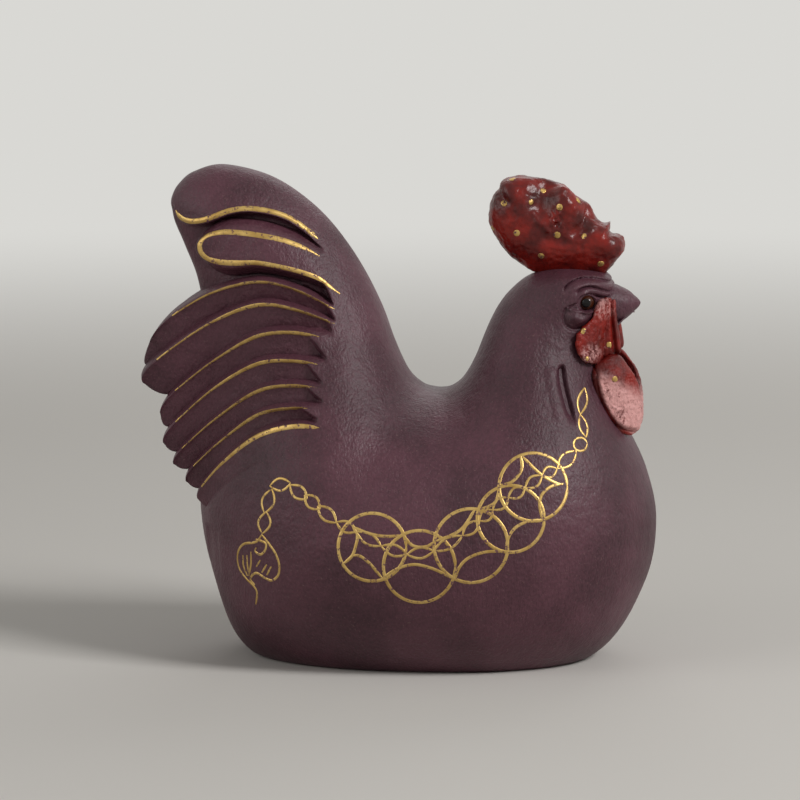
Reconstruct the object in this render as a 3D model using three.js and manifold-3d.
import * as THREE from 'three';
import { mergeVertices } from 'three/addons/utils/BufferGeometryUtils.js';
import Module from 'manifold-3d';

const wasm = await Module();
wasm.setup();

// A clay rooster figure, built from moulded shells and applied clay pieces.
// Millimetres. X runs from the tail to the beak, Z is up, and the seam lies at Y = 0.

// Driving dimensions
const figureLength = 103.8;
const figureWidth = 68;
const figureHeight = 98.6;

const seatGap = 0.3;
const seamGap = 0.3;
const clayWall = 4;
const footThickness = 4;
const ventDiameter = 7;
const ventX = 5;

const combHalfThickness = 5.6;
const combBaseHalfThickness = 3.4;
const combBaseHeight = 7;
const combFurrowDepth = 0.14;
const combFurrows = 3;

const eyeRadius = 1.9;
const eyeProud = 1.0;
const eyeBehindBrow = 3.8;
const eyeUnderBrow = 4.4;

const browProud = 0.9;
const lidProud = 1.3;
const pouchProud = 1.5;
const lappetProud = 2.2;

const throatGrooveWidth = 1.6;
const throatGrooveDepth = 0.9;

const wattleThickness = 3.2;
const wattleRearY = 10.4;
const wattleFrontY = 4.8;
const lappetFromSeam = 3.6;
const browFromSeam = 2.4;

const plumeThickness = 5.5;
const plumeSwell = 0.7;
const plumeTip = 1.2;
const featherThickness = 5;
const featherProud = 0.9;
const featherStep = 1.9;
const featherGap = 0.45;
const featherEdge = 0.6;
const featherSwell = 0.25;
const featherTipFrom = 0.78;
const featherTipShare = 0.45;
const featherTipMiddle = 0.22;
const featherTipRoundness = 2.6;
const topTipSpread = 7;
const lowTipSpread = 12;

const ringSteps = 24;
const ribSteps = 48;
const appliedSteps = 20;
const farOut = 100;

// Outlines are drawn in the side view, as [x, z], and stretched to the figure's sizes.

// Ribs of the figure, from the tail tip round the belly to the brow. Each runs from the
// inner outline (tail front, saddle, nape, crown) to the outer one (tail rear, belly,
// breast, throat). half is the half width, and core is the half width under the feathers.
const drawnRibs = [
  { inner: [-45.2, 90.9], outer: [-45.2, 90.9], half: 0, core: 0 },
  { inner: [-44.9, 92.6], outer: [-45.1, 89.1], half: 3.2, core: 2.0 },
  { inner: [-43.7, 94.7], outer: [-44.6, 86.4], half: 5.2, core: 3.2 },
  { inner: [-40.7, 97.1], outer: [-42.7, 82.0], half: 7.4, core: 4.6 },
  { inner: [-34.4, 98.6], outer: [-40.2, 75.5], half: 9.4, core: 5.8 },
  { inner: [-24.5, 96.1], outer: [-38.6, 67.0], half: 11.2, core: 6.6 },
  { inner: [-15.5, 89.8], outer: [-37.8, 59.0], half: 12.8, core: 7.8 },
  { inner: [-8.4, 81.3], outer: [-38.0, 50.5], half: 15.2, core: 10 },
  { inner: [-3.1, 71.4], outer: [-39.0, 41.0], half: 19.2, core: 14 },
  { inner: [-0.2, 63.4], outer: [-39.6, 30.5], half: 24.4, core: 20.5 },
  { inner: [2.6, 57.5], outer: [-37.3, 17.2], half: 29.0, core: 27.5 },
  { inner: [5.4, 54.8], outer: [-30.4, 1.2], half: 32.0, core: 31.4 },
  { inner: [7.6, 54.1], outer: [-14, -6.0], half: 33.5, core: 33 },
  { inner: [9.2, 54.0], outer: [5, -8.0], half: 34, core: 33.5 },
  { inner: [11, 54.4], outer: [25, -6.2], half: 33.4, core: 33 },
  { inner: [13, 55.8], outer: [41.8, 1.5], half: 31.6, core: 31 },
  { inner: [14.6, 58.0], outer: [50.4, 15.0], half: 28.4, core: 28 },
  { inner: [16.2, 61.2], outer: [52.6, 27.0], half: 24.2, core: 24 },
  { inner: [17.6, 64.8], outer: [50.6, 37.6], half: 20.2, core: 20 },
  { inner: [19.0, 68.2], outer: [46.3, 47.0], half: 16.8, core: 16.5 },
  { inner: [20.6, 71.2], outer: [43.0, 55.5], half: 14.0, core: 13.8 },
  { inner: [22.8, 74.0], outer: [42.0, 62.5], half: 12.2, core: 12 },
  { inner: [26.2, 76.8], outer: [42.7, 68.4], half: 11.2, core: 11 },
  { inner: [30.8, 78.4], outer: [43.5, 72.0], half: 10.2, core: 10 },
  { inner: [36.2, 78.6], outer: [43.8, 74.3], half: 8.2, core: 8 },
  { inner: [40.4, 78.0], outer: [43.5, 75.9], half: 4.6, core: 4.5 },
  { inner: [42.5, 77.0], outer: [42.5, 77.0], half: 0, core: 0 },
];

// Crest lines of the seven feathers on one side, root first, and the line under the last
const drawnCrests = [
  [[-10.9, 71.1], [-17.9, 74.8], [-25.4, 76.5], [-35.8, 73.8], [-47.4, 66.8]],
  [[-10.8, 68.4], [-17.7, 71.1], [-25.5, 72.1], [-35.6, 68.1], [-52.4, 56.4]],
  [[-10.7, 65.6], [-17.6, 66.5], [-25.3, 65.8], [-34.9, 60.4], [-46.8, 51.2]],
  [[-11.4, 60.8], [-17.4, 60.9], [-25.1, 60.5], [-34.6, 55.3], [-46.7, 44.6]],
  [[-12.0, 56.7], [-17.2, 56.6], [-25.0, 55.3], [-34.6, 49.0], [-44.7, 39.9]],
  [[-12.0, 52.8], [-17.0, 52.6], [-24.7, 51.1], [-33.0, 45.1], [-42.0, 36.7]],
  [[-12.5, 49.1], [-16.8, 49.5], [-24.6, 47.3], [-32.9, 40.7], [-39.6, 33.0]],
  [[-12.9, 45.0], [-16.6, 45.0], [-23.8, 41.8], [-31.6, 36.0], [-36.9, 30.2]],
];

// Each feather ends between the ends of its own crest line and the next one
const drawnTips = drawnCrests.slice(1).map((next, row) => {
  const [tail, nextTail] = [drawnCrests[row].at(-1)[0], next.at(-1)[0]];
  return tail + (nextTail - tail) * featherTipMiddle;
});

const reachOf = values => Math.max(...values) - Math.min(...values);
const drawnX = [...drawnTips, ...drawnRibs.map(rib => rib.outer[0])];
const stretchX = figureLength / reachOf(drawnX);
const stretchY = figureWidth / 2 / Math.max(...drawnRibs.map(rib => rib.half));
const stretchZ = figureHeight / Math.max(...drawnRibs.map(rib => rib.inner[1]));
const stretched = ([x, z]) => [x * stretchX, z * stretchZ];

const featherCrests = drawnCrests.map(line => line.map(stretched));
const ribs = drawnRibs.map(rib => ({
  inner: stretched(rib.inner),
  outer: stretched(rib.outer),
  half: rib.half * stretchY,
  core: rib.core * stretchY,
}));

// Lower edge of the top plume, tail tip first
const topPlumeEdge = [[-44.2, 90.4], [-42.9, 89.0], [-40.8, 87.9], [-37.2, 88.2], [-33.7, 89.7],
  [-29.0, 90.7], [-24.0, 90.2], [-19.7, 88.9], [-16.5, 86.7], [-13.2, 82.4]].map(stretched);

// Upper and lower edges of the long rounded plume, root first
const longPlumeUpper = [[-13.8, 81.9], [-18.0, 83.8], [-22.9, 85.1], [-27.9, 85.8], [-33.1, 86.0],
  [-37.6, 84.0]].map(stretched);
const longPlumeLower = [[-9.6, 73.6], [-14.9, 76.6], [-19.9, 78.3], [-27.0, 79.4], [-33.4, 78.8],
  [-37.6, 80.2]].map(stretched);

const combOutline = [[18.2, 87.6], [18.9, 91.6], [20.6, 94.8], [23.4, 96.4], [26.6, 96.4], [30.0, 95.6],
  [33.0, 94.7], [35.2, 93.2], [36.8, 91.8], [38.6, 90.9], [39.4, 89.1], [40.2, 87.9], [41.5, 87.2],
  [42.3, 87.3], [42.2, 85.9], [43.8, 85.1], [45.3, 84.0], [45.5, 82.4], [44.5, 79.9], [43.0, 78.0],
  [40.5, 76.4], [32.0, 75.8], [25.4, 77.2], [21.4, 81.2], [19.3, 84.0]].map(stretched);

const combSpine = [[25.5, 88.5], [39.5, 82.0]].map(stretched);

// The eye hangs from the brow point, and its folds are drawn from the eye
const browPoint = ribs.at(-1).inner;
const eyeX = browPoint[0] - eyeBehindBrow;
const eyeZ = browPoint[1] - eyeUnderBrow;
const besideEye = ([x, z]) => [eyeX + x, eyeZ + z];

const browOutline = [[-4.7, 1.6], [-2.6, 3.5], [-0.3, 4.5], [4.1, 3.5], [4.1, 2.3], [0.6, 3.4],
  [-2.2, 2.6]].map(besideEye);
const lidOutline = [[-2.8, 1.2], [-1.3, 2.4], [0.7, 2.9], [4.1, 1.7], [4.1, 0.7], [1.1, 1.7],
  [-1.5, 1.2]].map(besideEye);
const pouchOutline = [[-3.9, -1.4], [-4.4, -3.4], [-3.6, -4.9], [-2.1, -5.5], [-0.4, -4.2], [1.1, -2],
  [-1.1, -2.3]].map(besideEye);
const lappetOutline = [[41.4, 72.9], [40.4, 70.7], [39.4, 68.7], [37.8, 67.3], [36.9, 65.7], [37.3, 63.0],
  [38.7, 60.9], [40.8, 60.2], [42.6, 61.2], [43.6, 63.8], [43.6, 68.7], [43.2, 72.8]].map(stretched);
const wattleOutline = [[40.0, 59.6], [40.1, 56.2], [41.0, 52.2], [42.6, 48.7], [45.0, 46.4], [47.6, 45.4],
  [49.0, 47.2], [49.3, 50.8], [49.0, 54.4], [47.8, 57.8], [46.0, 60.8], [44.6, 62.8], [41.8, 61.2]]
  .map(stretched);
const wattleSpine = [[43.6, 58.6], [45.6, 50.6]].map(stretched);

const throatGroove = [[34.0, 61.3], [34.7, 58.5], [35.5, 55.5], [36.4, 51.8], [37.5, 48.0]].map(stretched);

// Sections of the beak: place along X, top, mouth line, bottom and half width
const drawnBeak = [
  { x: 40.6, top: 75.4, mouth: 68.2, bottom: 66.0, half: 4.9 },
  { x: 43.2, top: 75.2, mouth: 68.4, bottom: 66.6, half: 4.5 },
  { x: 45.0, top: 74.4, mouth: 68.7, bottom: 67.1, half: 3.6 },
  { x: 46.6, top: 73.1, mouth: 69.4, bottom: 68.0, half: 2.4 },
  { x: 47.6, top: 72.0, mouth: 70.1, bottom: 69.3, half: 1.2 },
];
const beakSections = drawnBeak.map(({ x, top, mouth, bottom, half }) => ({
  x: x * stretchX,
  top: top * stretchZ,
  mouth: mouth * stretchZ,
  bottom: bottom * stretchZ,
  half: half * stretchY,
}));
const beakTip = 0.6;
const lowerBeakWidthShare = 0.86;
const lowerBeakShorter = 0.7;
const beakTipShare = 0.4;

// Materials
const clay = { color: 0x5f4246, roughness: 0.55, metalness: 0 };
const redGlaze = { color: 0x7a1c14, roughness: 0.25, metalness: 0 };
const blackGlaze = { color: 0x0c0a0a, roughness: 0.08, metalness: 0 };

// Solids and meshes

function solidOf(positions, triangles) {
  const point = i => new THREE.Vector3().fromArray(positions, 3 * i);
  let volume = 0;
  for (let t = 0; t < triangles.length; t += 3) {
    const [a, b, c] = [point(triangles[t]), point(triangles[t + 1]), point(triangles[t + 2])];
    volume += a.dot(b.cross(c));
  }
  const faces = Uint32Array.from(triangles);
  if (volume < 0) {
    for (let t = 0; t < faces.length; t += 3) [faces[t], faces[t + 1]] = [faces[t + 1], faces[t]];
  }
  const mesh = new wasm.Mesh({ numProp: 3, vertProperties: Float32Array.from(positions), triVerts: faces });
  return new wasm.Manifold(mesh);
}

function solidOfGeometry(geometry) {
  const bare = geometry.clone();
  bare.deleteAttribute('normal');
  bare.deleteAttribute('uv');
  const merged = mergeVertices(bare, 1e-4);
  return solidOf(Array.from(merged.attributes.position.array), Array.from(merged.index.array));
}

function geometryOf(solid) {
  const mesh = solid.getMesh();
  const geometry = new THREE.BufferGeometry();
  geometry.setAttribute('position', new THREE.BufferAttribute(Float32Array.from(mesh.vertProperties), 3));
  geometry.setIndex(new THREE.BufferAttribute(Uint32Array.from(mesh.triVerts), 1));
  return geometry;
}

function mirrored(geometry) {
  const copy = geometry.clone().scale(1, -1, 1);
  const index = copy.index.array;
  for (let t = 0; t < index.length; t += 3) [index[t], index[t + 1]] = [index[t + 1], index[t]];
  return copy;
}

function block(low, high) {
  const size = high.clone().sub(low);
  const middle = high.clone().add(low).multiplyScalar(0.5);
  const box = new THREE.BoxGeometry(size.x, size.y, size.z);
  return solidOfGeometry(box.translate(middle.x, middle.y, middle.z));
}

// A solid skinned over rings of points, closed at each end by a fan to one point
function loft(rings, startPole, endPole) {
  const positions = rings.flat().flatMap(p => p.toArray());
  const count = rings[0].length;
  const first = positions.length / 3;
  positions.push(...startPole.toArray(), ...endPole.toArray());
  const triangles = [];
  for (let j = 0; j < count; j++) {
    const next = (j + 1) % count;
    triangles.push(first, next, j);
    for (let i = 0; i + 1 < rings.length; i++) {
      const [low, high] = [i * count, (i + 1) * count];
      triangles.push(low + j, low + next, high + next, low + j, high + next, high + j);
    }
    const last = (rings.length - 1) * count;
    triangles.push(first + 1, last + j, last + next);
  }
  return solidOf(positions, triangles);
}

function centreOf(points) {
  const sum = points.reduce((total, p) => total.add(p), new THREE.Vector3());
  return sum.divideScalar(points.length);
}

// The figure's main form, lofted over its ribs

const alongRibs = points => new THREE.CatmullRomCurve3(points, false, 'catmullrom', 0.5);
const innerLine = alongRibs(ribs.map(r => new THREE.Vector3(r.inner[0], 0, r.inner[1])));
const outerLine = alongRibs(ribs.map(r => new THREE.Vector3(r.outer[0], 0, r.outer[1])));
const widthLine = alongRibs(ribs.map(r => new THREE.Vector3(r.half, r.core, 0)));

function ribAt(t) {
  const [inner, outer, width] = [innerLine.getPoint(t), outerLine.getPoint(t), widthLine.getPoint(t)];
  const along = outer.clone().sub(inner);
  const reach = along.length() / 2;
  return {
    middle: inner.add(outer).multiplyScalar(0.5),
    along: along.normalize(),
    reach,
    half: width.x,
    core: width.y,
  };
}

function ribRing(rib, grow, width, swell = 1) {
  const ring = [];
  for (let j = 0; j < ringSteps; j++) {
    const angle = (2 * Math.PI * j) / ringSteps;
    const along = -Math.cos(angle) * (rib.reach + grow) * swell;
    const side = Math.sin(angle) * (rib[width] + grow) * swell;
    ring.push(rib.middle.clone().addScaledVector(rib.along, along).setY(side));
  }
  return ring;
}

function figureForm(grow = 0, width = 'half') {
  const rings = [];
  for (let i = 1; i < ribSteps; i++) rings.push(ribRing(ribAt(i / ribSteps), grow, width));
  const [start, end] = [ribAt(0).middle, ribAt(1).middle];
  const startPole = start.clone().addScaledVector(start.clone().sub(centreOf(rings[0])).normalize(), grow);
  const endPole = end.clone().addScaledVector(end.clone().sub(centreOf(rings.at(-1))).normalize(), grow);
  return loft(rings, startPole, endPole);
}

// The hollow inside, from the root of the tail to the neck
const hollowFrom = 7.4 / (ribs.length - 1);
const hollowTo = 20.6 / (ribs.length - 1);
const hollowSteps = 20;

function hollowForm() {
  const rings = [];
  for (let i = 1; i < hollowSteps; i++) {
    const v = i / hollowSteps;
    const swell = Math.sqrt(1 - Math.abs(2 * v - 1) ** 5);
    const rib = ribAt(THREE.MathUtils.lerp(hollowFrom, hollowTo, v));
    rings.push(ribRing({ ...rib, half: Math.min(rib.half, rib.core) }, -clayWall, 'half', swell));
  }
  return loft(rings, ribAt(hollowFrom).middle, ribAt(hollowTo).middle);
}

// Half width of the form at a place in the side view, 0 outside the outline
function halfWidthAt(x, z) {
  const across = t => {
    const rib = ribAt(t);
    return (x - rib.middle.x) * rib.along.z - (z - rib.middle.z) * rib.along.x;
  };
  let best = 0;
  const steps = 4 * ribSteps;
  for (let i = 1; i + 1 < steps; i++) {
    const [low, high] = [i / steps, (i + 1) / steps];
    const [a, b] = [across(low), across(high)];
    if (a * b > 0) continue;
    const rib = ribAt(THREE.MathUtils.lerp(low, high, a / (a - b || 1)));
    const place = ((x - rib.middle.x) * rib.along.x + (z - rib.middle.z) * rib.along.z) / rib.reach;
    if (Math.abs(place) < 1) best = Math.max(best, rib.half * Math.sqrt(1 - place * place));
  }
  return best;
}

// Outlines in the side view

const sidePoint = ([x, z]) => new THREE.Vector3(x, 0, z);

function sideCurve(points, closed = false) {
  return new THREE.CatmullRomCurve3(points.map(sidePoint), closed, 'centripetal');
}

function smoothOutline(points, steps, closed = true) {
  const count = closed ? steps : steps + 1;
  return sideCurve(points, closed).getPoints(steps).slice(0, count).map(p => [p.x, p.z]);
}

// A prism through the near side of the figure, standing on an outline in the side view
function sidePrism(outline) {
  const shape = new THREE.Shape(outline.map(([x, z]) => new THREE.Vector2(x, z)));
  const geometry = new THREE.ExtrudeGeometry(shape, { depth: farOut, bevelEnabled: false, steps: 1 });
  return solidOfGeometry(geometry.rotateX(Math.PI / 2));
}

function grownOutline(outline, grow) {
  const middle = centreOf(outline.map(sidePoint));
  return outline.map(([x, z]) => {
    const reach = Math.hypot(x - middle.x, z - middle.z);
    const share = (reach + grow) / reach;
    return [middle.x + (x - middle.x) * share, middle.z + (z - middle.z) * share];
  });
}

// A rounded pad: the outline drawn in towards its spine on both faces.
// side(x, z) gives the place of its middle surface and half(x, z) its half thickness.
function pad(outline, spine, side, half, layers = 4) {
  const line = new THREE.Line3(sidePoint(spine[0]), sidePoint(spine[1]));
  const rings = [];
  for (let k = -layers + 1; k < layers; k++) {
    const tilt = (k / layers) * (Math.PI / 2);
    const share = Math.cos(tilt) ** 0.6;
    rings.push(outline.map(place => {
      const edge = sidePoint(place);
      const point = line.closestPointToPoint(edge, true, new THREE.Vector3()).lerp(edge, share);
      return point.setY(side(point.x, point.z) + half(point.x, point.z) * Math.sin(tilt));
    }));
  }
  const middle = line.getCenter(new THREE.Vector3());
  const pole = sign => middle.clone().setY(side(middle.x, middle.z) + sign * half(middle.x, middle.z));
  return loft(rings, pole(-1), pole(1));
}

// Forms that other pieces are cut by
const figure = figureForm();
const figureSeat = figureForm(seatGap);
const coreSeat = figureForm(seatGap, 'core');

// Everything on the near side, from a distance off the seam outwards and between two heights
function nearSide(fromSeam, low = -farOut, high = farOut) {
  return block(new THREE.Vector3(-farOut, -farOut, low), new THREE.Vector3(farOut, -fromSeam, high));
}

// Clay applied to the surface: the outline's part of a skin of even thickness
function appliedSkin(outline, proud, fromSeam) {
  const skin = figureForm(seatGap + proud).subtract(figureSeat);
  return sidePrism(smoothOutline(outline, appliedSteps)).intersect(skin).intersect(nearSide(fromSeam));
}

// Tail feathers

const featherCount = featherCrests.length - 1;
const crestCurves = featherCrests.map(points => sideCurve(points));

// Share of a section that its rounded edge takes
const edgeShare = 0.12;

// A crest line lies on the flank at first and sweeps from its middle to the tip's distance
const sweepFrom = 0.5;
const sweepEase = 0.15;

const flankAt = point => halfWidthAt(point.x, point.z);
const leavingSides = crestCurves.map(curve => flankAt(curve.getPoint(sweepFrom)));

// A point on a crest line, with its distance from the seam
function crestPoint(row, u) {
  const { lerp, smoothstep } = THREE.MathUtils;
  const point = crestCurves[row].getPoint(u);
  const tipSpread = lerp(topTipSpread, lowTipSpread, row / featherCount);
  const proud = row < featherCount ? featherProud * Math.sin(Math.PI * Math.min(u * 1.2, 1)) : 0;
  const sweep = lerp(leavingSides[row], tipSpread, (u - sweepFrom) / (1 - sweepFrom));
  const swept = smoothstep(u, sweepFrom - sweepEase, sweepFrom + sweepEase);
  point.y = lerp(flankAt(point), sweep, swept) + proud;
  return point;
}

// One feather between its own crest line and the next one down
function feather(row) {
  const stations = [0, 0.12, 0.24, 0.36, 0.48, 0.6, 0.7, 0.78, 0.86, 0.92, 0.96, 0.985];
  const last = row === featherCount - 1;
  const rings = stations.map(u => {
    const upper = crestPoint(row, u);
    const below = crestPoint(row + 1, u);
    const width = below.distanceTo(upper);
    const nearTip = Math.max(u - featherTipFrom, 0) / (1 - featherTipFrom);
    const narrow = (1 - nearTip ** featherTipRoundness) ** (1 / featherTipRoundness);
    const [high, low] = [0, 1 - featherGap / width].map(share => {
      return THREE.MathUtils.lerp(featherTipMiddle, share, narrow);
    });
    const step = last ? 0 : featherStep;
    const thickness = featherThickness * THREE.MathUtils.lerp(featherTipShare, 1, narrow);
    const crest = upper.clone().lerp(below, high);
    const lower = upper.clone().lerp(below, low);
    lower.y = THREE.MathUtils.lerp(upper.y, below.y - step, low);
    const flank = crest.clone().lerp(lower, 0.5);
    flank.y += featherSwell * narrow;
    const ridge = crest.clone().lerp(lower, edgeShare).setY(crest.y);
    const back = point => point.clone().setY(point.y - thickness);
    const shoulder = crest.clone().setY(crest.y - featherEdge);
    return [shoulder, ridge, flank, lower, back(lower), back(crest)].map(p => p.setY(-p.y));
  });
  const tip = crestPoint(row, 1).lerp(crestPoint(row + 1, 1), featherTipMiddle);
  tip.y = -(tip.y - featherThickness * featherTipShare / 2);
  return loft(rings, centreOf(rings[0]), tip);
}

// The long rounded plume between its upper and lower edges
function longPlume() {
  const [upper, lower] = [sideCurve(longPlumeUpper), sideCurve(longPlumeLower)];
  const stations = [0, 0.15, 0.3, 0.45, 0.6, 0.75, 0.88, 0.96, 1];
  const rings = stations.map(u => {
    const [top, bottom] = [upper.getPoint(u), lower.getPoint(u)];
    for (const edge of [top, bottom]) {
      edge.y = Math.hypot(halfWidthAt(edge.x, edge.z), topTipSpread * u) + 0.6 * featherProud * u;
    }
    const middle = top.clone().lerp(bottom, 0.5);
    middle.y += plumeSwell;
    const back = point => point.clone().setY(point.y - plumeThickness);
    const ease = point => point.clone().lerp(middle, edgeShare).setY(point.y + plumeSwell / 2);
    const under = point => point.clone().setY(point.y - featherEdge);
    const section = [under(top), ease(top), middle, ease(bottom), under(bottom), back(bottom), back(top)];
    return section.map(p => p.setY(-p.y));
  });
  const end = centreOf(rings.at(-1));
  end.x -= plumeTip;
  return loft(rings, centreOf(rings[0]), end);
}

// The rebate in the tail that the plume and the feathers are set in
function tailRebate() {
  const outsideX = -farOut;
  const crestFloor = smoothOutline(featherCrests.at(-1), 10, false);
  const roots = featherCrests.slice(0, -1).map(points => [points[0][0] + featherGap, points[0][1]]);
  const plumeRoot = [longPlumeLower[0][0] + featherGap, longPlumeLower[0][1]];
  const outline = [
    [outsideX, topPlumeEdge[0][1]],
    ...smoothOutline(topPlumeEdge, 16, false),
    plumeRoot,
    ...roots,
    ...crestFloor,
    [outsideX, crestFloor.at(-1)[1]],
  ];
  return sidePrism(outline).subtract(figureForm(0, 'core'));
}

// Beak, in two halves that meet at the mouth line

function beakHalf(upper, grow = 0) {
  const width = upper ? 1 : lowerBeakWidthShare;
  const rings = beakSections.map(({ x, top, mouth, bottom, half }) => {
    const ring = [];
    const steps = 12;
    for (let j = 0; j < steps; j++) {
      const angle = (2 * Math.PI * j) / steps;
      const rise = Math.sin(angle);
      const edge = mouth - (upper ? 0 : seatGap);
      const high = upper ? top + grow : edge + grow;
      const low = upper ? mouth - grow : bottom - grow;
      const z = THREE.MathUtils.lerp(low, high, (Math.sign(rise) * Math.abs(rise) ** 0.8 + 1) / 2);
      ring.push(new THREE.Vector3(x, Math.cos(angle) * (half + grow) * width, z));
    }
    return ring;
  });
  const last = beakSections.at(-1);
  const tipX = last.x + beakTip + grow - (upper ? 0 : lowerBeakShorter);
  const tipZ = THREE.MathUtils.lerp(last.mouth, upper ? last.top : last.bottom - seatGap, beakTipShare);
  const tip = new THREE.Vector3(tipX, 0, tipZ);
  return loft(rings, centreOf(rings[0]), tip);
}

// Eye

function eyeBall(grow = 0) {
  const y = -(halfWidthAt(eyeX, eyeZ) + eyeProud - eyeRadius);
  return solidOfGeometry(new THREE.SphereGeometry(eyeRadius + grow, 14, 9).translate(eyeX, y, eyeZ));
}

// Pieces of one side, made for the near side and mirrored for the far one

// The carved groove behind the lappet, blunt at its top and tapered at its foot
function throatTool() {
  const curve = sideCurve(throatGroove);
  const stations = [0.01, 0.06, 0.2, 0.4, 0.6, 0.8, 0.96];
  const sides = 8;
  const rings = stations.map(u => {
    const middle = curve.getPoint(u);
    const ahead = curve.getTangent(u);
    const across = new THREE.Vector3(ahead.z, 0, -ahead.x);
    const size = Math.min(1, Math.sqrt(u / 0.2)) * Math.sqrt(1 - u);
    middle.y = -flankAt(middle);
    const ring = [];
    for (let j = 0; j < sides; j++) {
      const angle = (2 * Math.PI * j) / sides;
      const point = middle.clone().addScaledVector(across, Math.cos(angle) * size * throatGrooveWidth / 2);
      point.y += Math.sin(angle) * size * throatGrooveDepth;
      ring.push(point);
    }
    return ring;
  });
  return loft(rings, centreOf(rings[0]), centreOf(rings.at(-1)));
}

function bodyHalf() {
  const carved = figure.subtract(tailRebate()).subtract(throatTool());
  const shell = carved.subtract(hollowForm()).subtract(eyeBall(seatGap));
  return shell.intersect(nearSide(seamGap / 2, footThickness + seatGap));
}

// The room that a lappet and a gap round it take up, seen from the side
function lappetRoom(gap) {
  return sidePrism(grownOutline(smoothOutline(lappetOutline, appliedSteps), gap));
}

function wattle() {
  const outline = smoothOutline(wattleOutline, 32);
  const places = wattleOutline.map(([x]) => x);
  const [rear, front] = [Math.min(...places), Math.max(...places)];
  const side = x => -THREE.MathUtils.lerp(wattleRearY, wattleFrontY, (x - rear) / (front - rear));
  const slab = pad(outline, wattleSpine, side, () => wattleThickness / 2, 3);
  return slab.subtract(figureSeat).subtract(lappetRoom(2 * seatGap));
}

const beakClear = beakHalf(true, seatGap).add(beakHalf(false, seatGap));
const eyeClear = eyeBall(seatGap);
const pouchClear = eyeClear.add(lappetRoom(seatGap));

const sidePieces = {
  body_half: [bodyHalf(), clay],
  eye: [eyeBall(), blackGlaze],
  brow_fold: [appliedSkin(browOutline, browProud, browFromSeam).subtract(eyeClear), clay],
  upper_eyelid: [appliedSkin(lidOutline, lidProud, browFromSeam).subtract(eyeClear), clay],
  eye_pouch: [appliedSkin(pouchOutline, pouchProud, browFromSeam).subtract(pouchClear), clay],
  lappet: [appliedSkin(lappetOutline, lappetProud, lappetFromSeam).subtract(beakClear), redGlaze],
  wattle: [wattle(), redGlaze],
  tail_plume: [longPlume().subtract(coreSeat).intersect(nearSide(seamGap / 2)), clay],
};
for (let row = 0; row < featherCount; row++) {
  const blade = feather(row).subtract(coreSeat).intersect(nearSide(seamGap / 2));
  sidePieces[`tail_feather_${row + 1}`] = [blade, clay];
}

// Pieces on the seam

function footPlate() {
  const low = new THREE.Vector3(-farOut, -farOut, 0);
  const high = new THREE.Vector3(farOut, farOut, footThickness);
  const vent = new THREE.CylinderGeometry(ventDiameter / 2, ventDiameter / 2, 4 * footThickness, 24);
  const hole = solidOfGeometry(vent.rotateX(Math.PI / 2).translate(ventX, 0, 0));
  return figure.intersect(block(low, high)).subtract(hole);
}

// The comb thins towards its seat. Shallow furrows down its sides leave folds between them.
function comb() {
  const { lerp, smoothstep } = THREE.MathUtils;
  const [front, back] = [combSpine[1][0], combSpine[0][0]];
  const seat = Math.min(...combOutline.map(([, z]) => z));
  const furrow = x => Math.cos((Math.PI * combFurrows * (x - back)) / (front - back)) ** 2;
  const half = (x, z) => {
    const full = smoothstep(z, seat, seat + combBaseHeight);
    return lerp(combBaseHalfThickness, combHalfThickness, full) * (1 - combFurrowDepth * furrow(x));
  };
  return pad(smoothOutline(combOutline, 68), combSpine, () => 0, half, 5).subtract(figureSeat);
}

const centrePieces = {
  foot_plate: [footPlate(), clay],
  comb: [comb(), redGlaze],
  upper_beak: [beakHalf(true).subtract(figureSeat), clay],
  lower_beak: [beakHalf(false).subtract(figureSeat), clay],
};

// Assembly

const rooster = new THREE.Group();

function addPiece(name, geometry, look) {
  const mesh = new THREE.Mesh(geometry, new THREE.MeshStandardMaterial(look));
  mesh.name = name;
  rooster.add(mesh);
}

for (const [name, [solid, look]] of Object.entries(centrePieces)) addPiece(name, geometryOf(solid), look);
for (const [name, [solid, look]] of Object.entries(sidePieces)) {
  const geometry = geometryOf(solid);
  addPiece(`right_${name}`, geometry, look);
  addPiece(`left_${name}`, mirrored(geometry), look);
}

// The origin is on the ground, under the middle of the figure
const bounds = new THREE.Box3().setFromObject(rooster);
rooster.position.x = -(bounds.min.x + bounds.max.x) / 2;

export default rooster;
